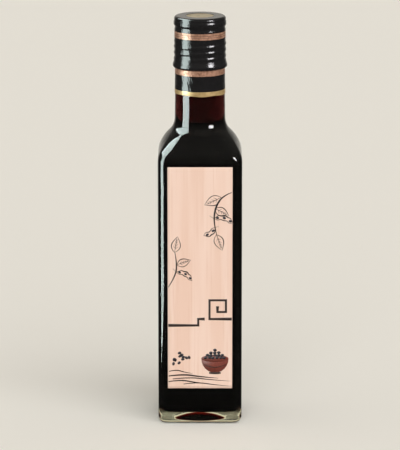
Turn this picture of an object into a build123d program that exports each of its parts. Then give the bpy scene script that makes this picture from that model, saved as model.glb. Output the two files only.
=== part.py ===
from build123d import *
import os
from math import atan, cos, radians, sin, sqrt

# Square oil-and-sauce bottle, 250 ml, filled, capped and sealed with a shrink capsule.
# Millimetres, +Z up. The origin is the middle of the base; the label faces -Y.

# ---- driving dimensions ----------------------------------------------------
SIDE = 46.0              # across the flats of the body
CORNER = 5.5             # radius of the body's upright corners
HEEL = 3.5               # rounding between walls and base
WALL = 2.8               # glass thickness of the body
SHOULDER_Z = 147.0       # where the flat walls end
NECK_Z = 168.5           # where the shoulder has become the round neck
SHOULDER_ROUND = 0.655   # share of the shoulder's height taken by its convex arc
NECK_R_LOW = 13.85       # neck radius just above the shoulder
NECK_R_HIGH = 13.45      # neck radius just below the cap
BORE_R = 9.6             # inside of the neck
INNER_SHOULDER_Z = 144.5 # the glass is thick at the shoulder: inside, it starts lower
INNER_NECK_Z = 163.5
FLOOR_Z = 5.6            # top of the thick glass base, beside the walls
FLOOR_RISE = 2.4         # how far the floor domes up in the middle
PUNT_R = 14.5            # radius of the hollow under the base
PUNT_RISE = 2.6          # and its depth
FLOOR_CORNER = 4.0       # rounding between inner walls and floor
FILL_Z = 188.0           # level of the sauce, behind the capsule

TOTAL_H = 224.5          # over the capsule's rim
FILM = 0.15              # capsule film
CAPSULE_Z = 182.0        # lower edge of the capsule
HOLE_R = 7.5             # hole left in the capsule's top by shrinking
CAP_Z = 196.0            # lower edge of the cap
CAP_R = 13.95            # over the film, along the cap's skirt
RIDGE_R = 14.85          # over the tamper band's flared edge
BEAD_R = 14.3            # over the bead below the cap's top
GROOVE_R = 13.75         # over the groove below that bead
CAP_TOP = 1.2            # top disc with its liner
FINISH_R = 12.7          # outside of the glass mouth under the cap
MOUTH_EDGE = 0.8         # rounding of the glass mouth

LABEL_W = 35.4
LABEL_Z = (20.6, 145.0)
PAPER = 0.15

GAP = 0.03               # sauce to glass, so that the two solids never cross

HALF = SIDE / 2
SECTION_SHARES = (0, 1 / 3, 2 / 3, 1)   # steps along each arc of the shoulder
LEAD = 2.0               # straight lead at both ends, so that the loft leaves them upright


# ---- shapes ----------------------------------------------------------------
def mix(start, end, share):
    return start + (end - start) * share


def outline(half, corner, roundness, z):
    """Closed wire: a rounded square at roundness 0, a circle at roundness 1.

    It always has four face edges and four corner arcs, so that any two outlines can be lofted.
    """
    eighth = radians(22.5)
    face_x = mix(half, half * cos(eighth), roundness)
    face_t = mix(half - corner, half * sin(eighth), roundness)
    diagonal = mix(half - corner + corner / sqrt(2), half / sqrt(2), roundness)
    edges = []
    for quarter in range(4):
        turn = Location((0, 0, z), (0, 0, 90 * quarter))
        if roundness == 0:
            face = Edge.make_line((face_x, -face_t), (face_x, face_t))
        else:
            face = Edge.make_three_point_arc((face_x, -face_t), (half, 0), (face_x, face_t))
        bend = Edge.make_three_point_arc((face_x, face_t), (diagonal, diagonal), (face_t, face_x))
        edges += [turn * face, turn * bend]
    return Wire(edges)


def shoulder(half, corner, neck_r, z_low, z_high):
    """Square body to round neck: a convex arc, then a concave one that runs into the neck."""
    drop = half - neck_r
    rise = z_high - z_low
    steepest = 2 * atan(drop / rise)
    convex = SHOULDER_ROUND * rise / sin(steepest)
    concave = (1 - SHOULDER_ROUND) * rise / sin(steepest)
    stations = []
    for share in SECTION_SHARES:
        angle = steepest * share
        stations.append((half - convex * (1 - cos(angle)), z_low + convex * sin(angle)))
    for share in reversed(SECTION_SHARES[:-1]):
        angle = steepest * share
        stations.append((neck_r + concave * (1 - cos(angle)), z_high - concave * sin(angle)))
    wires = [outline(half, corner, 0, z_low - LEAD)]
    for width, z in stations:
        along = (z - z_low) / rise
        roundness = along * along * (3 - 2 * along)
        wires.append(outline(width, min(corner * (1 + along), width * 0.9), roundness, z))
    wires.append(outline(neck_r, 0, 1, z_high + LEAD))
    return Solid.make_loft(wires)


def body_block(half, corner, z_low, z_high, bottom_round):
    """Upright rounded square block with its lower rim rounded."""
    block = extrude(Face(outline(half, corner, 0, z_low)), z_high - z_low)
    rim = block.edges().filter_by_position(Axis.Z, z_low - 0.01, z_low + 0.01)
    return fillet(rim, bottom_round)


def dome(chord_r, rise, z):
    """Ball whose top stands `rise` above height z and cuts that height at radius chord_r."""
    ball_r = (chord_r ** 2 + rise ** 2) / (2 * rise)
    return Pos(0, 0, z + rise - ball_r) * Sphere(ball_r)


def inside(clear):
    """Room inside the glass, kept `clear` away from it."""
    half = HALF - WALL - clear
    corner = CORNER - 1 - clear
    floor = FLOOR_Z + clear
    room = body_block(half, corner, floor, INNER_SHOULDER_Z - LEAD, FLOOR_CORNER - clear)
    room -= dome(half - FLOOR_CORNER - 0.5, FLOOR_RISE, floor)
    room += shoulder(half, corner, BORE_R - clear, INNER_SHOULDER_Z, INNER_NECK_Z)
    room += Pos(0, 0, INNER_NECK_Z + LEAD) * Cylinder(
        BORE_R - clear, TOTAL_H - INNER_NECK_Z, align=(Align.CENTER, Align.CENTER, Align.MIN))
    return room


def turned(points, radii):
    """Solid of revolution about Z from an outline of (radius, height) corners."""
    line = FilletPolyline(*[(r, 0, z) for r, z in points], radius=radii)
    (first_r, first_z), (last_r, last_z) = points[0], points[-1]
    edges = list(line.edges())
    if first_r > 0:
        edges.append(Edge.make_line((0, 0, first_z), (first_r, 0, first_z)))
    if last_r > 0:
        edges.append(Edge.make_line((last_r, 0, last_z), (0, 0, last_z)))
    edges.append(Edge.make_line((0, 0, last_z), (0, 0, first_z)))
    return revolve(Face(Wire(edges)), Axis.Z)


def top_form(inset):
    """Neck and cap as the film wraps them, shrunk by `inset`, from the capsule's hem to the top."""
    up_the_neck = (CAPSULE_Z - NECK_Z - LEAD) / (CAP_Z - NECK_Z - LEAD)
    hem_r = mix(NECK_R_LOW, NECK_R_HIGH, up_the_neck) + FILM
    corners = [
        (hem_r, CAPSULE_Z),
        (NECK_R_HIGH + FILM, CAP_Z),
        (RIDGE_R, CAP_Z + 0.9),
        (RIDGE_R, CAP_Z + 2.2),
        (CAP_R, CAP_Z + 5.6),
        (CAP_R, TOTAL_H - 7.6),
        (GROOVE_R, TOTAL_H - 6.4),
        (GROOVE_R, TOTAL_H - 5.6),
        (BEAD_R, TOTAL_H - 4.6),
        (BEAD_R, TOTAL_H - 3.2),
        (CAP_R + 0.1, TOTAL_H - 2.2),
        (CAP_R + 0.1, TOTAL_H),
        (0, TOTAL_H),
    ]
    rounds = [0.5, 0.5, 0.5, 0.8, 0.8, 0.4, 0.4, 0.4, 0.4, 0.4, 1.3 - inset]
    shrunk = [(max(r - inset, 0), z if z < TOTAL_H else z - inset) for r, z in corners]
    return turned(shrunk, rounds)


# ---- pieces ----------------------------------------------------------------
def bottle_glass():
    outer = body_block(HALF, CORNER, 0, SHOULDER_Z - LEAD, HEEL)
    outer += shoulder(HALF, CORNER, NECK_R_LOW, SHOULDER_Z, NECK_Z)
    outer += Pos(0, 0, NECK_Z + LEAD) * Cone(
        NECK_R_LOW, NECK_R_HIGH, CAP_Z - NECK_Z - LEAD, align=(Align.CENTER, Align.CENTER, Align.MIN))
    finish = Pos(0, 0, CAP_Z) * Cylinder(
        FINISH_R, TOTAL_H - FILM - CAP_TOP - CAP_Z, align=(Align.CENTER, Align.CENTER, Align.MIN))
    outer += fillet(finish.edges().sort_by(Axis.Z)[-1], MOUTH_EDGE)
    outer -= dome(PUNT_R, PUNT_RISE, 0)
    outer -= inside(0)
    return outer


def soy_sauce():
    fill = inside(GAP)
    lid = Pos(0, 0, FILL_Z) * Box(SIDE, SIDE, TOTAL_H, align=(Align.CENTER, Align.CENTER, Align.MIN))
    return fill - lid


def screw_cap():
    skirt = top_form(FILM)
    below = Pos(0, 0, CAP_Z) * Box(2 * SIDE, 2 * SIDE, CAP_Z, align=(Align.CENTER, Align.CENTER, Align.MAX))
    mouth = Pos(0, 0, CAP_Z - 1) * Cylinder(
        FINISH_R, TOTAL_H - FILM - CAP_TOP - CAP_Z + 1, align=(Align.CENTER, Align.CENTER, Align.MIN))
    return skirt - below - mouth


def capsule():
    film = top_form(0) - top_form(FILM)
    hole = Pos(0, 0, TOTAL_H) * Cylinder(HOLE_R, 4 * FILM)
    return film - hole


def label_front():
    low, high = LABEL_Z
    return Pos(0, -HALF - PAPER / 2, (low + high) / 2) * Box(LABEL_W, PAPER, high - low)


# ---- write the parts -------------------------------------------------------
os.makedirs("parts", exist_ok=True)
for piece in (bottle_glass, soy_sauce, screw_cap, capsule, label_front):
    solid = piece().solid()
    solid.label = piece.__name__
    export_step(solid, f"parts/{piece.__name__}.step")
    size = solid.bounding_box()
    print(f"{piece.__name__}: {solid.volume / 1000:.1f} ml, z {size.min.Z:.2f} to {size.max.Z:.2f}, "
          f"x {size.min.X:.2f} to {size.max.X:.2f}, valid {solid.is_valid}")
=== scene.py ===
# %% [markdown]
# # A square bottle of soy sauce
#
# The bottle is one rigid thing: clear pressed glass, near-black sauce, a metal screw cap, a black
# shrink capsule with copper bands, and a paper label. The frame brings the solids at their real
# size. Every visible skin is built here around them, in metres, standing at the origin with +Z up
# and the label towards -Y.

# %% Load the frame
import bmesh
import bpy
from math import atan, cos, hypot, pi, radians, sin, sqrt
from mathutils import Euler, Matrix, Vector
from mathutils.noise import noise


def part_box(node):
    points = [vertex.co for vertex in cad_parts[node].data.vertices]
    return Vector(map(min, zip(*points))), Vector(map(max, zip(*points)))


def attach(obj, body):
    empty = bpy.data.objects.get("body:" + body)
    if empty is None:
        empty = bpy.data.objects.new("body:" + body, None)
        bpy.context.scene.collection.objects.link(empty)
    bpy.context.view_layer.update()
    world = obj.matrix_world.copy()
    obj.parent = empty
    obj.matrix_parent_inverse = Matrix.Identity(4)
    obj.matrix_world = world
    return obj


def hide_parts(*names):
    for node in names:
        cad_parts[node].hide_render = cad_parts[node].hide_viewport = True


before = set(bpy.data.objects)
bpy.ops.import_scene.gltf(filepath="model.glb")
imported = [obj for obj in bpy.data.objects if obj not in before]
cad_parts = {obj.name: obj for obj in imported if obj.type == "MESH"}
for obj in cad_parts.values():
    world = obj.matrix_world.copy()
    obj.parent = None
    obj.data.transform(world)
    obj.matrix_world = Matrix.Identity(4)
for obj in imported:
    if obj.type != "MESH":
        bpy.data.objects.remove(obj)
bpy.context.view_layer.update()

MM = 0.001

# %% [markdown]
# ## Measures
#
# A bottle maker's drawing has a handful of driving sizes and derives the rest. Heights that the
# solids already hold are read from the frame, so that the skins can't drift away from them: the
# mouth, the cap, the sauce, both ends of the capsule, and the whole label. What the boxes don't give
# exactly or at all, such as the body's nominal side, the heel's rounding or the wall, is written
# down once, in millimetres.

# %% Measures
def corners_of(node):
    """A node's lowest and highest corners, in millimetres."""
    return [Vector(corner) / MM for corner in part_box(node)]


glass_low, glass_high = corners_of("bottle_glass")
film_low, film_high = corners_of("capsule")
label_low, label_high = corners_of("label_front")

HALF = 23.0                     # half the side of the body
CORNER = 5.5                    # upright corners
HEEL = 3.5                      # rounding between walls and base
WALL = 2.8
SHOULDER = (147.0, 168.5)       # heights where the outer shoulder starts and ends
INNER_SHOULDER = (144.5, 163.5)
CONVEX_SHARE = 0.655            # of the shoulder's height
NECK_R = (13.85, 13.45)         # above the shoulder, below the cap
BORE_R = 9.6
FLOOR = 5.6                     # height of the inner floor at its edge
FLOOR_RISE = 2.4
FLOOR_ROUND = 4.0
PUNT_R = 14.5                   # the push-up under the base
PUNT_RISE = 2.6
MOUTH_R = 12.7
CAP_Z = corners_of("screw_cap")[0].z
TOP_Z = film_high.z
HEM_Z = film_low.z              # lower edge of the capsule
FILL_Z = corners_of("soy_sauce")[1].z
AROUND = 256                    # steps round the glass
print("height", round(TOP_Z, 2), "side", round(glass_high.x - glass_low.x, 2), "hem", round(HEM_Z, 2))


# %% [markdown]
# ## A small language for shaders
#
# A finish is a sum of masks and noises. Written as nodes, such sums are long and hard to read, so one
# small class wraps an output socket and lets Python's own signs build the Math nodes. Every other
# node comes from one method that takes its type, its settings and what its sockets hold.

# %% Shader helpers
class Wire:
    """An output socket that adds, subtracts, multiplies and raises like a number."""

    def __init__(self, sheet, socket):
        self.sheet, self.socket = sheet, socket

    def math(self, operation, *values):
        return self.sheet.add("ShaderNodeMath", {"operation": operation}, dict(enumerate(values)))

    def __add__(self, other):
        return self.math("ADD", self, other)

    __radd__ = __add__

    def __sub__(self, other):
        return self.math("SUBTRACT", self, other)

    def __rsub__(self, other):
        return self.math("SUBTRACT", other, self)

    def __mul__(self, other):
        return self.math("MULTIPLY", self, other)

    __rmul__ = __mul__

    def __pow__(self, other):
        return self.math("POWER", self, other)

    def __rpow__(self, other):
        return self.math("POWER", other, self)


class Sheet:
    """The node tree of one material or of the world."""

    def __init__(self, owner):
        self.owner = owner
        owner.use_nodes = True
        self.tree = owner.node_tree
        self.tree.nodes.clear()

    def add(self, kind, settings=None, values=None, output=0):
        node = self.tree.nodes.new(kind)
        for name, value in (settings or {}).items():
            if name == "stops":
                ramp = node.color_ramp.elements
                while len(ramp) < len(value):
                    ramp.new(0.5)
                for stop, (place, colour) in zip(ramp, value):
                    stop.position = place
                    stop.color = (*colour, 1)
            else:
                setattr(node, name, value)
        for key, value in (values or {}).items():
            if isinstance(value, Wire):
                self.tree.links.new(value.socket, node.inputs[key])
            else:
                node.inputs[key].default_value = value
        return Wire(self, node.outputs[output])

    def place(self):
        """Object coordinates in millimetres."""
        point = self.add("ShaderNodeTexCoord", output="Object")
        return self.add("ShaderNodeVectorMath", {"operation": "SCALE"}, {0: point, 3: 1 / MM})

    def split(self, vector):
        """A vector's x, y and z."""
        parts = self.add("ShaderNodeSeparateXYZ", None, {0: vector}).socket.node.outputs
        return [Wire(self, part) for part in parts]

    def noise(self, point, scale, detail=3.0, roughness=0.55, stretch=(1, 1, 1)):
        at = self.add("ShaderNodeVectorMath", {"operation": "MULTIPLY"}, {0: point, 1: stretch})
        return self.add("ShaderNodeTexNoise", None,
                        {"Vector": at, "Scale": scale, "Detail": detail, "Roughness": roughness})

    def ease(self, value, low, high):
        """0 below low and 1 above high, with a smooth step between."""
        return self.add("ShaderNodeMapRange", {"interpolation_type": "SMOOTHSTEP"},
                        {"Value": value, "From Min": low, "From Max": high})

    def within(self, value, low, high, soft):
        """1 between low and high and 0 elsewhere, with both edges softened."""
        risen = self.ease(value, low - soft, low + soft)
        return risen * (1 - self.ease(value, high - soft, high + soft))

    def blend(self, share, first, second):
        """Mix two colours."""
        first, second = (c if isinstance(c, Wire) else (*c, 1) for c in (first, second))
        return self.add("ShaderNodeMix", {"data_type": "RGBA"}, {0: share, 6: first, 7: second}, 2)

    def bump(self, height, depth_mm, strength=1.0):
        return self.add("ShaderNodeBump", None,
                        {"Height": height, "Distance": depth_mm * MM, "Strength": strength})

    def finish(self, surface, volume=None):
        out = self.tree.nodes.new("ShaderNodeOutputMaterial")
        self.tree.links.new(surface.socket, out.inputs["Surface"])
        if volume is not None:
            self.tree.links.new(volume.socket, out.inputs["Volume"])
        return self.owner


def srgb(red, green, blue):
    """A screen colour, 0 to 255, as the linear light that nodes work in."""
    def channel(value):
        value /= 255
        return value / 12.92 if value <= 0.04045 else ((value + 0.055) / 1.055) ** 2.4
    return channel(red), channel(green), channel(blue)


def new_sheet(name):
    return Sheet(bpy.data.materials.new(name))


print("shader helpers ready")


# %% [markdown]
# ## Turning and squaring
#
# Bottle glass is blown into a mould, cap and capsule are turned shapes. The glass, the sauce and the
# capsule start here as a profile of a few arcs and lines, spun round the axis; the cap keeps its solid.
# A square bottle is the same spin with every ring pushed out into a rounded square: fully on the walls,
# not at all on the neck, and in between on the shoulder, which is how the mould blends the two.

# %% Turning helpers
def mix(start, end, share):
    return start + (end - start) * share


def smooth(share):
    share = min(max(share, 0), 1)
    return share * share * (3 - 2 * share)


def arc(centre, radius, start, end, steps):
    """Points (r, z) along an arc, angles in degrees from the outward direction."""
    turn = [radians(mix(start, end, step / steps)) for step in range(steps + 1)]
    return [(centre[0] + radius * cos(a), centre[1] + radius * sin(a)) for a in turn]


def shoulder_profile(half, neck_r, heights, steps):
    """A convex arc that leaves the wall upright, then a concave one that enters the neck upright."""
    low, high = heights
    steepest = 2 * atan((half - neck_r) / (high - low))
    convex = CONVEX_SHARE * (high - low) / sin(steepest)
    concave = (1 - CONVEX_SHARE) * (high - low) / sin(steepest)
    points = []
    for step in range(steps + 1):
        angle = steepest * step / steps
        points.append((half - convex * (1 - cos(angle)), low + convex * sin(angle)))
    for step in range(steps - 1, -1, -1):
        angle = steepest * step / steps
        points.append((neck_r + concave * (1 - cos(angle)), high - concave * sin(angle)))
    return points


def spun(points, steps=AROUND):
    """A mesh spun from a profile of (r, z) points in millimetres."""
    bm = bmesh.new()
    line = [bm.verts.new((r * MM, 0, z * MM)) for r, z in points]
    edges = [bm.edges.new(pair) for pair in zip(line, line[1:])]
    bmesh.ops.spin(bm, geom=line + edges, cent=(0, 0, 0), axis=(0, 0, 1), angle=2 * pi,
                   steps=steps, use_merge=True, use_duplicate=False)
    bmesh.ops.remove_doubles(bm, verts=bm.verts, dist=1e-7)
    return bm


def square_reach(half, corner, angle):
    """Distance from the axis to a rounded square's side, in the direction `angle`."""
    across, along = sorted((abs(cos(angle)), abs(sin(angle))), reverse=True)
    inset = half - corner
    if along * half <= inset * across:
        return half / across
    return inset * (across + along) + sqrt(max(corner ** 2 - inset ** 2 * (1 - 2 * across * along), 0))


CROWD = 0.15          # draws the steps from the flats on to the corners
LEAST_BEND = 1.2      # the tightest corner under the heel
MOST_BEND = 0.9       # the widest corner, as a share of the reach


def square_up(bm, corner, heights, base_z, round_below):
    """Push the rings of a spun body out into rounded squares.

    heights are where the shoulder starts and ends. Below base_z, rings smaller than round_below
    stay round, and those outside it turn square towards the heel.
    """
    low, high = heights
    for vert in bm.verts:
        x, y, z = vert.co / MM
        reach = hypot(x, y)
        if reach < 1e-4:
            continue
        angle = Vector((x, y)).angle_signed(Vector((1, 0)))
        crowd = angle - CROWD * sin(4 * angle)
        along = min(max((z - low) / (high - low), 0), 1)
        roundness = smooth(along)
        bend = min(corner * (1 + along), reach * MOST_BEND)
        if z < base_z:
            roundness = 1 - smooth((reach - round_below) / (HALF - HEEL - round_below - 0.2))
            bend = min(max(corner - (HALF - reach), LEAST_BEND), reach * MOST_BEND)
        out = mix(square_reach(reach, bend, crowd), reach, roundness)
        vert.co = Vector((out * cos(crowd), out * sin(crowd), z)) * MM


def piece_from(bm, name, *materials):
    """Close the books on a bmesh: normals out, one object at the origin."""
    bmesh.ops.recalc_face_normals(bm, faces=bm.faces)
    mesh = bpy.data.meshes.new(name)
    bm.to_mesh(mesh)
    bm.free()
    mesh.polygons.foreach_set("use_smooth", [True] * len(mesh.polygons))
    piece = bpy.data.objects.new(name, mesh)
    bpy.context.scene.collection.objects.link(piece)
    for material in materials:
        mesh.materials.append(material)
    print(name, len(mesh.vertices), "vertices", len(mesh.polygons), "faces")
    return piece


# %% [markdown]
# ## Glass
#
# Cheap flint glass isn't quite colourless: iron leaves it faintly yellow-green where light has a long
# way through, as in the thick base. A clear surface over a weak volume absorption gives that by
# itself, with thin walls nearly clear and the base tinted. The mould leaves the walls a little
# wavy, which a slow noise brings in as bump, so that highlights waver as they do on real bottles.

# %% Glass finish
GLASS_IOR = 1.52
SAUCE_IOR = 1.38
GLASS_BODY = {"Color": (0.62, 0.6, 0.0, 1), "Density": 12.0}      # takes most from the blue


def glass_finish(name, ior, tinted):
    sheet = new_sheet(name)
    point = sheet.place()
    slow = sheet.noise(point, 0.05, 2.0, stretch=(1, 1, 0.6))
    fine = sheet.noise(point, 0.9, 3.0)
    handled = sheet.noise(point, 0.12, 4.0, 0.7)
    surface = sheet.add("ShaderNodeBsdfPrincipled", None, {
        "Base Color": (1, 1, 1, 1),
        "Transmission Weight": 1.0,
        "IOR": ior,
        "Roughness": 0.012 + 0.03 * sheet.ease(handled, 0.5, 0.8),
        "Normal": sheet.bump(slow + 0.012 * fine, 0.5, 0.5),
    })
    if not tinted:
        return sheet.finish(surface)
    return sheet.finish(surface, sheet.add("ShaderNodeVolumeAbsorption", None, GLASS_BODY))


clear_glass = glass_finish("clear_glass", GLASS_IOR, True)
wetted_glass = glass_finish("wetted_glass", GLASS_IOR / SAUCE_IOR, False)
print("index of wetted glass", round(GLASS_IOR / SAUCE_IOR, 3))

# %% [markdown]
# The bottle is one closed shell with an outer and an inner skin. Both are spun and squared on their
# own, because the inner shoulder starts lower and the glass is thick there, and the two are bridged
# at the mouth under the cap. Where sauce touches glass, light bends and mirrors far less than at
# air, so the wetted inner skin has an index that is glass over sauce, and the sauce itself bends
# nothing. That keeps the front deep black, with no grey veil.

# %% Glass piece
LEAD = 0.5            # a close ring beside each rounding keeps the flat stretches flat in shading
LIP = 0.8             # rounding of the mouth


def ball_profile(chord_r, rise, z, steps):
    """A shallow dome from the axis out to chord_r, its top `rise` above z."""
    ball = (chord_r ** 2 + rise ** 2) / (2 * rise)
    widest = atan(chord_r / (ball - rise))
    points = []
    for step in range(steps + 1):
        angle = widest * step / steps
        points.append((ball * sin(angle), z + rise - ball * (1 - cos(angle))))
    return points


def outer_profile():
    points = ball_profile(PUNT_R, PUNT_RISE, 0, 14)
    points += [(mix(PUNT_R, HALF - HEEL, step / 6), 0) for step in range(1, 6)]
    points += arc((HALF - HEEL, HEEL), HEEL, -90, 0, 10)
    points += [(HALF, HEEL + LEAD)]
    points += [(HALF, mix(HEEL, SHOULDER[0], step / 12)) for step in range(1, 12)]
    points += [(HALF, SHOULDER[0] - LEAD)]
    points += shoulder_profile(HALF, NECK_R[0], SHOULDER, 22)
    points += [(NECK_R[0], SHOULDER[1] + LEAD)]
    neck = (SHOULDER[1] + LEAD, CAP_Z)
    points += [(mix(*NECK_R, step / 8), mix(*neck, step / 8)) for step in range(1, 9)]
    points += [(MOUTH_R, CAP_Z + 0.01)]
    points += arc((MOUTH_R - LIP, glass_high.z - LIP), LIP, 0, 90, 4)
    return points


def inner_profile(grow=0.0):
    """From the middle of the floor up to the mouth. grow moves the whole skin into the wall."""
    half = HALF - WALL + grow
    floor = FLOOR - grow
    flat = half - FLOOR_ROUND
    points = ball_profile(flat - 0.5, FLOOR_RISE, floor, 12)
    points += arc((flat, floor + FLOOR_ROUND), FLOOR_ROUND, -90, 0, 10)
    points += [(half, floor + FLOOR_ROUND + LEAD)]
    wall = (floor + FLOOR_ROUND, INNER_SHOULDER[0])
    points += [(half, mix(*wall, step / 12)) for step in range(1, 12)]
    points += [(half, INNER_SHOULDER[0] - LEAD)]
    points += shoulder_profile(half, BORE_R + grow, INNER_SHOULDER, 22)
    points += [(BORE_R + grow, INNER_SHOULDER[1] + LEAD)]
    return points


def inner_skin(points):
    bm = spun(points)
    square_up(bm, CORNER - 1, INNER_SHOULDER, FLOOR + FLOOR_RISE, HALF - WALL - FLOOR_ROUND - 1.5)
    return bm


def bottle():
    bm = spun(outer_profile())
    square_up(bm, CORNER, SHOULDER, HEEL, PUNT_R + 0.3)
    outer_faces = len(bm.faces)
    bore = [(BORE_R, mix(INNER_SHOULDER[1], glass_high.z, step / 6)) for step in range(1, 7)]
    inner = inner_skin(inner_profile() + bore)
    shell = bpy.data.meshes.new("inner_skin")
    inner.to_mesh(shell)
    inner.free()
    bm.from_mesh(shell)
    bpy.data.meshes.remove(shell)
    rims = [edge for edge in bm.edges if edge.is_boundary]
    bmesh.ops.bridge_loops(bm, edges=rims)
    print("open edges left:", sum(edge.is_boundary for edge in bm.edges))
    bm.faces.ensure_lookup_table()
    for face in bm.faces[outer_faces:]:
        face.material_index = int(face.calc_center_median().z < FILL_Z * MM)
    return piece_from(bm, "glass_bottle", clear_glass, wetted_glass)


glass = bottle()
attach(glass, "root")
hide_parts("bottle_glass")

# %% [markdown]
# ## Sauce
#
# Brewed soy sauce is a clear but very deep red-brown. A centimetre and a half swallows nearly all
# light, so the body of the bottle looks black, and only the thin edge of the column in the neck
# glows dark red. The liquid is therefore a real volume with an absorption that takes blue and
# green first. It reaches a hair into the wall, so that no film of air shows between the two, and
# its surface climbs a little at the wall, as a liquid's does.

# %% Sauce
INTO_WALL = 0.06
SAUCE_BODY = {"Color": (0.68, 0.16, 0.0, 1), "Density": 680.0}    # leaves a little red


def sauce_finish():
    sheet = new_sheet("dark_sauce")
    point = sheet.place()
    surface = sheet.add("ShaderNodeBsdfPrincipled", None, {
        "Base Color": (1, 1, 1, 1),
        "Transmission Weight": 1.0,
        "IOR": 1.0,
        "Roughness": 0.02 * sheet.noise(point, 0.2),
    })
    return sheet.finish(surface, sheet.add("ShaderNodeVolumeAbsorption", None, SAUCE_BODY))


dark_sauce = sauce_finish()


def sauce():
    column = BORE_R + INTO_WALL
    points = inner_profile(INTO_WALL)
    points += [(column, mix(INNER_SHOULDER[1] + LEAD, FILL_Z, step / 5)) for step in range(1, 6)]
    points += [(column - 0.7, FILL_Z - 0.5), (column - 2.0, FILL_Z - 0.8), (0, FILL_Z - 0.85)]
    return piece_from(inner_skin(points), "sauce_fill", dark_sauce)


fill = sauce()
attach(fill, "root")
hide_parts("soy_sauce")

# %% [markdown]
# ## Cap
#
# Only a disc of the cap shows, through the hole that the shrinking film leaves on top. It is
# lacquered aluminium in a beige gold. The solid already has the right shape, so it keeps it and
# gets a metal with faint turning rings and a few rubbed spots.

# %% Cap finish
def cap_finish():
    sheet = new_sheet("lacquered_gold")
    point = sheet.place()
    x, y = sheet.split(point)[:2]
    reach = (x * x + y * y) ** 0.5
    rings = sheet.add("ShaderNodeTexNoise", {"noise_dimensions": "1D"},
                      {"W": reach, "Scale": 3.0, "Detail": 4.0})
    worn = sheet.noise(point, 0.35, 4.0)
    colour = sheet.blend(sheet.ease(worn, 0.4, 0.75), srgb(196, 178, 146), srgb(160, 142, 110))
    surface = sheet.add("ShaderNodeBsdfPrincipled", None, {
        "Base Color": colour,
        "Metallic": 0.75,
        "Roughness": 0.34 + 0.12 * rings,
        "Normal": sheet.bump(rings, 0.02, 0.6),
    })
    return sheet.finish(surface)


cap = bpy.data.objects["screw_cap"]
cap.data.materials.clear()
cap.data.materials.append(cap_finish())
print("cap finished")

# %% [markdown]
# ## Capsule
#
# The capsule is a printed black film, shrunk with hot air over the cap and the upper neck. It
# follows everything under it: the bead and groove at the top, the slanting thread, the flared
# edge of the tamper band. Where it had to shrink most, near its lower edge, it keeps small
# crinkles. So it is a spun profile whose skin is pushed out by the thread and by crinkles that
# run mostly upright, then given its thickness.

# %% Capsule finish
COPPER = ((213.0, 216.4), (193.0, 196.0))     # heights where each band starts and ends
COPPER_LINES = (214.2, 215.2)                 # two fine dark lines in the upper band
GOLD_TOP = HEM_Z + 2.5
EDGE = 0.06                                   # softness of a printed edge


def film_finish():
    sheet = new_sheet("printed_film")
    point = sheet.place()
    z = sheet.split(point)[2]
    worn = sheet.noise(point, 0.6, 5.0, 0.7)
    grain = sheet.noise(point, 5.0, 2.0)
    copper = 0
    for low, high in COPPER:
        copper = copper + sheet.within(z, low, high, EDGE)
    for line in COPPER_LINES:
        copper = copper * (1 - 0.6 * sheet.within(z, line - 2 * EDGE, line + 2 * EDGE, EDGE))
    gold = 1 - sheet.ease(z, GOLD_TOP - EDGE, GOLD_TOP + EDGE)
    foil = copper + gold
    dull = sheet.ease(worn, 0.35, 0.7)
    copper_tone = sheet.blend(dull, srgb(200, 154, 130), srgb(142, 100, 78))
    gold_tone = sheet.blend(dull, srgb(206, 178, 126), srgb(172, 142, 94))
    black_tone = sheet.blend(worn, srgb(18, 18, 20), srgb(34, 33, 34))
    colour = sheet.blend(foil, black_tone, sheet.blend(gold, copper_tone, gold_tone))
    surface = sheet.add("ShaderNodeBsdfPrincipled", None, {
        "Base Color": colour,
        "Metallic": 0.35 * foil,
        "Roughness": 0.14 + 0.2 * foil + 0.08 * sheet.ease(worn, 0.5, 0.8),
        "Normal": sheet.bump(worn + 0.15 * grain, 0.1, 0.5),
    })
    return sheet.finish(surface)


printed_film = film_finish()
print("copper bands", COPPER, "gold band", round(HEM_Z, 2), "to", round(GOLD_TOP, 2))

# %% Capsule piece
CAP_R = 13.95
RIDGE_R = 14.85                # the flared edge of the cap
BEAD_R = 14.3
GROOVE_R = 13.75
TOP_R = CAP_R + 0.1
TOP_ROUND = 1.3
HOLE_R = 7.5                   # the hole in the top
FILM = 0.15                    # the film's outer face in front of the neck
FILM_THICKNESS = 0.1
FINENESS = 0.3                 # longest step along the profile
THREAD = (199.5, 212.0)        # heights where the thread starts and ends
THREAD_PITCH = 3.3
THREAD_HEIGHT = 0.28
THREAD_RUN_OUT = 2.0
CRINKLE = 0.05                 # depth of the folds
CRINKLE_ON_NECK = 0.07         # what the neck adds to it
FINE_CRINKLE = 0.03
STAND_OFF = 0.03               # keeps the folds off the cap
SAG = 0.35                     # how unevenly the hem hangs


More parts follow.
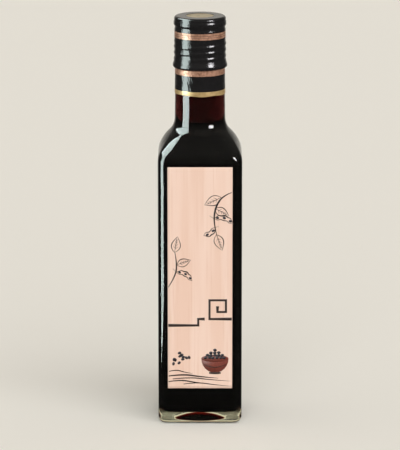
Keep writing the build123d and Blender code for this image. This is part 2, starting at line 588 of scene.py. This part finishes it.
def film_profile():
    """The film's outer skin, from the hem up and over to the hole."""
    hem_r = mix(*NECK_R, (HEM_Z - SHOULDER[1]) / (CAP_Z - SHOULDER[1])) + FILM
    corners = [
        (hem_r, HEM_Z), (NECK_R[1] + FILM, CAP_Z),
        (RIDGE_R - 0.35, CAP_Z + 0.5), (RIDGE_R, CAP_Z + 1.1), (RIDGE_R, CAP_Z + 2.0),
        (CAP_R + 0.45, CAP_Z + 3.4), (CAP_R, CAP_Z + 5.6), (CAP_R, TOP_Z - 7.6),
        (GROOVE_R, TOP_Z - 6.4), (GROOVE_R, TOP_Z - 5.6),
        (BEAD_R, TOP_Z - 4.6), (BEAD_R, TOP_Z - 3.2),
        (TOP_R, TOP_Z - 2.2), (TOP_R, TOP_Z - TOP_ROUND),
    ]
    points = [corners[0]]
    for (r0, z0), (r1, z1) in zip(corners, corners[1:]):
        steps = max(1, round(hypot(r1 - r0, z1 - z0) / FINENESS))
        points += [(mix(r0, r1, s / steps), mix(z0, z1, s / steps)) for s in range(1, steps + 1)]
    flat = TOP_R - TOP_ROUND
    points += arc((flat, TOP_Z - TOP_ROUND), TOP_ROUND, 0, 90, 8)[1:]
    points += [(mix(flat, HOLE_R, s / 10), TOP_Z - 0.02 * s / 10) for s in range(1, 11)]
    return points


def thread_push(angle, z):
    """How far a slanting thread under the film stands out at this height and angle."""
    turns = (z - THREAD[0]) / THREAD_PITCH - angle / (2 * pi)
    wave = 0.5 + 0.5 * cos(2 * pi * turns)
    fade = smooth((z - THREAD[0]) / THREAD_RUN_OUT) * smooth((THREAD[1] - z) / THREAD_RUN_OUT)
    return THREAD_HEIGHT * wave ** 1.5 * fade


def crinkle_push(angle, z):
    """Small upright folds, deepest near the hem and below the flared edge."""
    lean = angle * 13.7 + z * 0.25
    fold = noise(Vector((lean * 0.9, z * 0.16, 3.1)))
    small = noise(Vector((lean * 2.3, z * 0.5, 7.7)))
    on_neck = 1 - smooth((z - CAP_Z + 1.0) / 1.5)
    return (CRINKLE + CRINKLE_ON_NECK * on_neck) * max(fold, -0.2) + FINE_CRINKLE * small


def capsule():
    bm = spun(film_profile(), 240)
    for vert in bm.verts:
        x, y, z = vert.co / MM
        reach = hypot(x, y)
        if z > TOP_Z - 1.2 or reach < HOLE_R + 0.2:
            continue
        angle = Vector((x, y)).angle_signed(Vector((1, 0)))
        push = thread_push(angle, z) + crinkle_push(angle, z) + STAND_OFF
        sag = SAG * noise(Vector((cos(angle) * 1.6, sin(angle) * 1.6, 0.4)))
        sag *= 1 - smooth((z - HEM_Z) / 4)
        vert.co = Vector((x * (1 + push / reach), y * (1 + push / reach), z + sag)) * MM
    bmesh.ops.recalc_face_normals(bm, faces=bm.faces)
    bmesh.ops.solidify(bm, geom=bm.faces[:], thickness=FILM_THICKNESS * MM)
    return piece_from(bm, "shrink_capsule", printed_film)


film = capsule()
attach(film, "root")
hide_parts("capsule")

# %% [markdown]
# ## Label paper
#
# A rectangle of uncoated paper, pale pink-peach, with the faint upright streaks of a wood-grain
# print. Paper is never a plain colour close up: the streaks come from two noises stretched along
# the height, and the fibres from a fine one that also roughens the surface.

# %% Label paper
PAPER = 0.10                   # the paper's face in front of the glass
PAPER_THICKNESS = 0.08


def paper_finish():
    sheet = new_sheet("label_paper")
    point = sheet.place()
    streak = sheet.noise(point, 1.0, 5.0, 0.6, stretch=(0.9, 1, 0.02))
    broad = sheet.noise(point, 1.0, 2.0, 0.5, stretch=(0.12, 1, 0.008))
    fibre = sheet.noise(point, 6.0, 4.0, 0.7, stretch=(1, 1, 0.5))
    light, mid, deep = srgb(238, 211, 198), srgb(232, 200, 184), srgb(220, 181, 160)
    colour = sheet.blend(sheet.ease(broad, 0.35, 0.65), light, mid)
    colour = sheet.blend(0.55 * sheet.ease(streak, 0.5, 0.75), colour, deep)
    colour = sheet.blend(0.12 * fibre, colour, srgb(200, 160, 140))
    surface = sheet.add("ShaderNodeBsdfPrincipled", None, {
        "Base Color": colour,
        "Roughness": 0.62 + 0.2 * fibre,
        "Specular IOR Level": 0.3,
        "Normal": sheet.bump(fibre + 0.4 * streak, 0.03, 0.4),
    })
    return sheet.finish(surface)


label_paper = paper_finish()


def label():
    bm = bmesh.new()
    bmesh.ops.create_grid(bm, x_segments=24, y_segments=80, size=0.5)
    sides = (label_high - label_low) * MM
    size = Matrix.Diagonal((sides.x, sides.z, 1, 1))
    stand = Matrix.Rotation(radians(90), 4, "X")
    middle = Matrix.Translation((0, -(HALF + PAPER) * MM, (label_low.z + label_high.z) / 2 * MM))
    bmesh.ops.transform(bm, matrix=middle @ stand @ size, verts=bm.verts)
    bmesh.ops.solidify(bm, geom=bm.faces[:], thickness=PAPER_THICKNESS * MM)
    return piece_from(bm, "front_label", label_paper)


paper = label()
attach(paper, "root")
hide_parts("label_front")

# %% [markdown]
# ## Print
#
# The print is a plain grocer's picture in brush and line: soybean sprigs with pods, a fret line,
# a red clay bowl with beans, and a few sweeps of ground. Ink lies on the paper, so every shape
# is a very thin mesh of its own just above it. A brush stroke is a curve whose radius swells and
# tapers, made a mesh and pressed flat, and a bean or a bowl is a flattened disc.

# %% Inks
def ink_finish(name, dark, light, speck):
    sheet = new_sheet(name)
    point = sheet.place()
    dry = sheet.noise(point, 1.6, 4.0, 0.7)
    grain = sheet.noise(point, 7.0, 3.0)
    colour = sheet.blend(speck * sheet.ease(dry, 0.45, 0.75), dark, light)
    surface = sheet.add("ShaderNodeBsdfPrincipled", None, {
        "Base Color": colour,
        "Roughness": 0.5 + 0.25 * grain,
        "Normal": sheet.bump(grain, 0.02, 0.4),
    })
    return sheet.finish(surface)


brown_ink = ink_finish("brown_ink", srgb(38, 20, 12), srgb(88, 56, 38), 0.6)
bean_ink = ink_finish("bean_ink", srgb(30, 20, 30), srgb(84, 64, 76), 0.8)
clay_ink = ink_finish("clay_ink", srgb(118, 50, 38), srgb(170, 82, 58), 0.9)
print("three inks ready")

# %% Brush helpers
INK = 0.012                              # thickness of a layer of ink
BOLD = 1.7                               # how heavily the brush is loaded
PAPER_FACE = HALF + PAPER
prints = {"brush_lines": (bmesh.new(), brown_ink), "bean_dots": (bmesh.new(), bean_ink),
          "clay_bowl": (bmesh.new(), clay_ink)}


def press(mesh, layer, target):
    """Flatten a mesh drawn in the XZ plane on to the paper, on its own layer of ink."""
    face = -(PAPER_FACE + INK * (layer + 0.7))
    for vert in mesh.vertices:
        u, depth, v = vert.co
        vert.co = Vector((u, face + max(-0.4, min(0.4, depth * 8)) * INK, v)) * MM
    prints[target][0].from_mesh(mesh)
    bpy.data.meshes.remove(mesh)


def stroke(points, width, taper=(0.35, 1.0, 0.25), layer=1, kind="NURBS"):
    """A brush stroke along (x, z) points in millimetres. taper is its swell at start, middle, end."""
    data = bpy.data.curves.new("stroke", "CURVE")
    data.dimensions = "3D"
    data.bevel_depth = width * BOLD / 2
    data.bevel_resolution = 1
    data.resolution_u = 6
    data.use_fill_caps = True
    spline = data.splines.new(kind)
    spline.points.add(len(points) - 1)
    start, middle, end = taper
    for place, (point, (u, v)) in enumerate(zip(spline.points, points)):
        share = 2 * place / (len(points) - 1)
        point.co = (u, 0, v, 1)
        point.radius = mix(start, middle, share) if share < 1 else mix(middle, end, share - 1)
    if kind == "NURBS":
        spline.order_u = 3
        spline.use_endpoint_u = True
    shape = bpy.data.objects.new("stroke", data)
    bpy.context.scene.collection.objects.link(shape)
    mesh = bpy.data.meshes.new_from_object(shape)
    bpy.data.objects.remove(shape)
    bpy.data.curves.remove(data)
    press(mesh, layer, "brush_lines")


def dab(u, v, width, height, turn=0.0, target="bean_dots", layer=2, keep=None):
    """An oval of ink. A keep of -1 leaves only its lower half, and 1 its upper half."""
    bm = bmesh.new()
    bmesh.ops.create_cone(bm, cap_ends=True, segments=24, radius1=0.5, radius2=0.5, depth=0.2)
    bmesh.ops.rotate(bm, cent=(0, 0, 0), matrix=Matrix.Rotation(radians(90), 3, "X"), verts=bm.verts)
    if keep:
        bmesh.ops.bisect_plane(bm, geom=bm.verts[:] + bm.edges[:] + bm.faces[:], plane_co=(0, 0, 0),
                               plane_no=(0, 0, -keep), clear_outer=True)
        bmesh.ops.holes_fill(bm, edges=[edge for edge in bm.edges if edge.is_boundary])
    size = Matrix.Diagonal((width, 1, height, 1))
    stand = Matrix.Translation((u, 0, v)) @ Matrix.Rotation(turn, 4, "Y")
    bmesh.ops.transform(bm, matrix=stand @ size, verts=bm.verts)
    mesh = bpy.data.meshes.new("dab")
    bm.to_mesh(mesh)
    bm.free()
    press(mesh, layer, target)


def along(start, turn, reach, side=0.0):
    """The point `reach` away from start in direction turn, moved `side` to its left."""
    u, v = start
    return u + reach * cos(turn) - side * sin(turn), v + reach * sin(turn) + side * cos(turn)


def leaf(start, turn, length, width):
    """A pointed leaf in outline, with its midrib and veins."""
    stations = [0, 0.12, 0.35, 0.6, 0.82, 1.0]
    belly = [0, 0.55, 1.0, 0.85, 0.4, 0]
    left = [along(start, turn, length * s, width / 2 * b) for s, b in zip(stations, belly)]
    right = [along(start, turn, length * s, -width / 2 * b) for s, b in zip(stations, belly)]
    stroke(left, 0.42)
    stroke(right, 0.34)
    stroke([along(start, turn, length * s, 0.03 * length * sin(3 * s)) for s in (0, 0.4, 0.92)], 0.32)
    for share in (0.25, 0.42, 0.58, 0.72):
        for side in (-1, 1):
            tip = along(start, turn, length * (share + 0.14), side * width * 0.33 * (1.1 - share))
            stroke([along(start, turn, length * share), tip], 0.2, (1, 0.8, 0.3))


def pod(start, turn, beans, size):
    """A curved pod with a bean showing in each swelling."""
    length = size * (1 + 1.25 * beans)
    top, bottom = [], []
    for step in range(6 * beans + 1):
        share = step / (6 * beans)
        bow = 0.16 * length * sin(pi * share)
        swell = size * (0.42 + 0.2 * abs(sin(pi * beans * share))) * min(1, 5 * share, 5 * (1 - share))
        top.append(along(start, turn, length * share, bow + swell))
        bottom.append(along(start, turn, length * share, bow - swell))
    stroke(top, 0.5)
    stroke(bottom, 0.38)
    for bean in range(beans):
        share = (bean + 0.5) / beans
        middle = along(start, turn, length * share, 0.16 * length * sin(pi * share))
        dab(*middle, size * 0.8, size * 0.62, -turn)
    stroke([start, along(start, turn, -0.25 * length, 0.08 * length)], 0.4)


# %% [markdown]
# The picture is laid out as a printer's sketch would be, with x across the label and z up
# from the table, both in millimetres. The upper left stays bare paper, and so does the middle. Small
# beans are placed by a loop, with a little noise so that no two sit alike.

# %% Print
# A sprig that hangs in from the right, high on the label
stroke([(17.2, 131), (12.0, 129), (8.0, 122), (7.5, 113), (9.5, 106)], 0.75)
leaf((11.5, 128.3), radians(205), 10.0, 5.6)
leaf((8.2, 122.0), radians(-28), 8.6, 5.0)
leaf((8.9, 107.5), radians(-70), 9.5, 5.4)
pod((7.5, 116.5), radians(-15), 3, 2.3)
pod((8.2, 111.5), radians(215), 2, 2.2)

# A smaller sprig that grows in from the left, half way down
stroke([(-17.3, 78), (-13.5, 84), (-12.5, 91), (-13.8, 98)], 0.7)
leaf((-13.8, 97.5), radians(80), 9.0, 5.2)
leaf((-12.6, 90.5), radians(20), 8.0, 4.6)
pod((-13.0, 86.5), radians(-30), 3, 2.1)

# A fret line, square cornered
fret = [(17.4, 60.0), (5.2, 60.0), (5.2, 70.6), (14.2, 70.6), (14.2, 64.0), (9.6, 64.0), (9.6, 67.2)]
stroke(fret, 1.15, (1, 1, 1), kind="POLY")
stroke([(-17.4, 56.4), (-1.0, 56.4), (-1.0, 60.0), (2.6, 60.0)], 1.15, (1, 1, 1), kind="POLY")

# A clay bowl heaped with beans, on the right
BOWL_X, RIM_Z, RIM_WIDTH = 8.2, 37.6, 15.0
dab(BOWL_X, RIM_Z, RIM_WIDTH, 16.4, target="clay_bowl", layer=1, keep=-1)
dab(BOWL_X, RIM_Z, RIM_WIDTH, 4.2, target="clay_bowl", layer=2)
stroke([(1.6, 34.6), (5.0, 32.6), (11.0, 32.5), (14.8, 34.6)], 0.4, layer=3)
stroke([(5.0, 29.4), (BOWL_X, 29.0), (11.4, 29.4)], 0.9, (0.7, 1, 0.7), layer=3)
for row, count in enumerate((6, 5, 3, 1)):
    for seat in range(count):
        wobble = 0.5 * noise(Vector((row * 3.1, seat * 1.7, 0.3)))
        u = BOWL_X + (seat - (count - 1) / 2) * 2.05 + wobble
        v = 38.0 + row * 1.45 + wobble * 0.6
        dab(u, v, 2.0, 1.6, radians(60 * wobble), layer=3 + row)

# Loose beans on the left
for seat in range(11):
    spread = noise(Vector((seat * 1.31, 4.2, 0.6)))
    lift = noise(Vector((2.7, seat * 1.93, 1.4)))
    u = -10.2 + 9.5 * spread + 0.5 * (seat % 4)
    dab(u, 37.0 + 6.0 * lift, 2.0, 1.5, 3 * spread, layer=2 + seat % 3)

# Sweeps of ground under both: height, left end, right end and width
SWEEPS = (
    (27.6, -17.2, 10.0, 0.75), (25.9, -15.0, 16.6, 0.5), (24.4, -17.3, 5.0, 0.6),
    (23.0, -9.0, 17.2, 0.45), (30.2, -17.0, -4.0, 0.5),
)
for rise, start, end, width in SWEEPS:
    hump = (mix(start, end, 0.3), rise + 1.1)
    dip = (mix(start, end, 0.65), rise - 0.5)
    stroke([(start, rise), hump, dip, (end, rise - 1.2)], width, (0.6, 1.0, 0.15))

for name, (bm, ink) in prints.items():
    printed = piece_from(bm, name, ink)
    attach(printed, "root")

# %% [markdown]
# ## Floor, light and camera
#
# The bottle stands on a plain pale floor. Glass shows its surroundings, so these are chosen as
# a studio would choose them. A glossy black body mirrors whatever lies in front of it, so the floor
# is left out of mirror reflections, as a dark cloth in front of a bottle would do. Otherwise the
# lower half of the bottle would turn grey.

# %% Floor
FLOOR_PALE = srgb(243, 241, 236)
FLOOR_SIDE = 60                # metres, so that its far edge is above the frame


def floor_finish():
    sheet = new_sheet("pale_floor")
    surface = sheet.add("ShaderNodeBsdfDiffuse", None, {"Color": (*FLOOR_PALE, 1)})
    return sheet.finish(surface)


def flat_sheet(name, width, height, matrix, material):
    bm = bmesh.new()
    bmesh.ops.create_grid(bm, x_segments=1, y_segments=1, size=0.5)
    bmesh.ops.transform(bm, matrix=matrix @ Matrix.Diagonal((width, height, 1, 1)), verts=bm.verts)
    mesh = bpy.data.meshes.new(name)
    bm.to_mesh(mesh)
    bm.free()
    mesh.materials.append(material)
    sheet = bpy.data.objects.new(name, mesh)
    bpy.context.scene.collection.objects.link(sheet)
    return sheet


floor = flat_sheet("floor", FLOOR_SIDE, FLOOR_SIDE, Matrix.Identity(4), floor_finish())
floor.visible_glossy = False
print("floor", FLOOR_SIDE, "m square")

# %% [markdown]
# The highlights come from cards. Each is a bright flat sheet that only mirror reflections see, so
# it draws a shape on glass and film and lights nothing. Two on the left stand for a tall window:
# the lower one draws the long upright highlight and the higher one the sweep over the shoulder. A
# small one on the right leaves a spot on every bead and ridge.

# %% Mirror cards
def card_finish(name, colour, strength):
    sheet = new_sheet(name)
    glow = {"Color": (*colour, 1), "Strength": strength}
    return sheet.finish(sheet.add("ShaderNodeEmission", None, glow))


def standing(centre, facing):
    """A matrix that stands a flat sheet at centre, its face towards facing."""
    turn = (Vector(facing) - Vector(centre)).to_track_quat("Z", "Y").to_matrix().to_4x4()
    return Matrix.Translation(centre) @ turn


def mirror_card(name, width, height, centre, facing, colour, strength):
    """A bright card that only shows as a reflection."""
    card = flat_sheet(name, width, height, standing(centre, facing), card_finish(name, colour, strength))
    for view in ("camera", "diffuse", "transmission", "volume_scatter", "shadow"):
        setattr(card, "visible_" + view, False)
    return card


DAYLIGHT = (0.86, 1.0, 0.97)
WINDOW_STRENGTH = 12.0
LAMPLIGHT = (1, 0.98, 1.0)
GLINT_STRENGTH = 22.0
mirror_card("window_low", 0.42, 0.62, (-0.6, -0.27, 0.19), (0, -0.27, 0.19), DAYLIGHT, WINDOW_STRENGTH)
mirror_card("window_high", 0.86, 0.90, (-0.6, 0.0, 0.95), (0, 0.0, 0.95), DAYLIGHT, WINDOW_STRENGTH)
mirror_card("round_glint", 0.30, 0.30, (0.58, -0.48, 0.50), (0, 0, 0.17), LAMPLIGHT, GLINT_STRENGTH)
print("three mirror cards")

# %% [markdown]
# The light that falls on the bottle comes from one very soft lamp on the right front and from the
# world. The world answers each kind of ray on its own. Rays from the camera and rays through clear
# glass see a pale wall. Matt surfaces get an even light. Mirror reflections see a dim room that
# brightens only far behind the bottle, which keeps the front deep and gives the edges a pale rim.

# %% Lamp and world
lamp_data = bpy.data.lights.new("soft_lamp", "SUN")
lamp_data.energy = 1.9
lamp_data.angle = radians(75)
lamp_data.color = (1, 0.985, 0.96)
lamp = bpy.data.objects.new("soft_lamp", lamp_data)
lamp.rotation_euler = Vector((0.30, -0.80, 0.62)).to_track_quat("Z", "Y").to_euler()
lamp.visible_camera = False
lamp.visible_glossy = False
bpy.context.scene.collection.objects.link(lamp)

PALE = srgb(232, 227, 217)
AMBIENT = 0.62                 # what matt surfaces get
WALL_SEEN = 0.95               # what the camera and clear glass see
world = bpy.data.worlds.new("studio")
bpy.context.scene.world = world
sheet = Sheet(world)
direction = sheet.add("ShaderNodeTexCoord", output="Generated")
back, up = sheet.split(direction)[1:]
mirrored = 0.06 + 0.16 * sheet.ease(up, -0.1, 0.6) + 0.66 * sheet.ease(back, 0.72, 0.98)
rays = sheet.add("ShaderNodeLightPath").socket.node.outputs
glossy = Wire(sheet, rays["Is Glossy Ray"])
seen = Wire(sheet, rays["Is Camera Ray"]) + Wire(sheet, rays["Is Transmission Ray"])
seen = sheet.add("ShaderNodeMath", {"operation": "MINIMUM"}, {0: seen, 1: 1.0})
strength = AMBIENT + glossy * (mirrored - AMBIENT)
strength = strength + seen * (WALL_SEEN - strength)
pale = sheet.add("ShaderNodeBackground", None, {"Color": (*PALE, 1), "Strength": strength})
out = sheet.tree.nodes.new("ShaderNodeOutputWorld")
sheet.tree.links.new(pale.socket, out.inputs["Surface"])
print("lamp and world ready")

# %% [markdown]
# The camera stands a little above the bottle and looks down on it through a long lens, so that the
# upright edges stay nearly parallel and a narrow ellipse of the cap's top shows.

# %% Camera
CAMERA_AT = Vector((0, -1.725, 0.508))
PITCH = 13.07                  # degrees that it looks down
SENSOR = 36
LENS = 256.8
camera_data = bpy.data.cameras.new("camera")
camera_data.sensor_fit = "VERTICAL"
camera_data.sensor_height = SENSOR
camera_data.lens = LENS
camera = bpy.data.objects.new("camera", camera_data)
camera.location = CAMERA_AT
camera.rotation_euler = Euler((radians(90 - PITCH), 0, 0))
bpy.context.scene.collection.objects.link(camera)
bpy.context.scene.camera = camera
bpy.context.scene.view_settings.view_transform = "Standard"
print("camera", round(CAMERA_AT.length, 2), "m away, looking down", PITCH, "degrees")
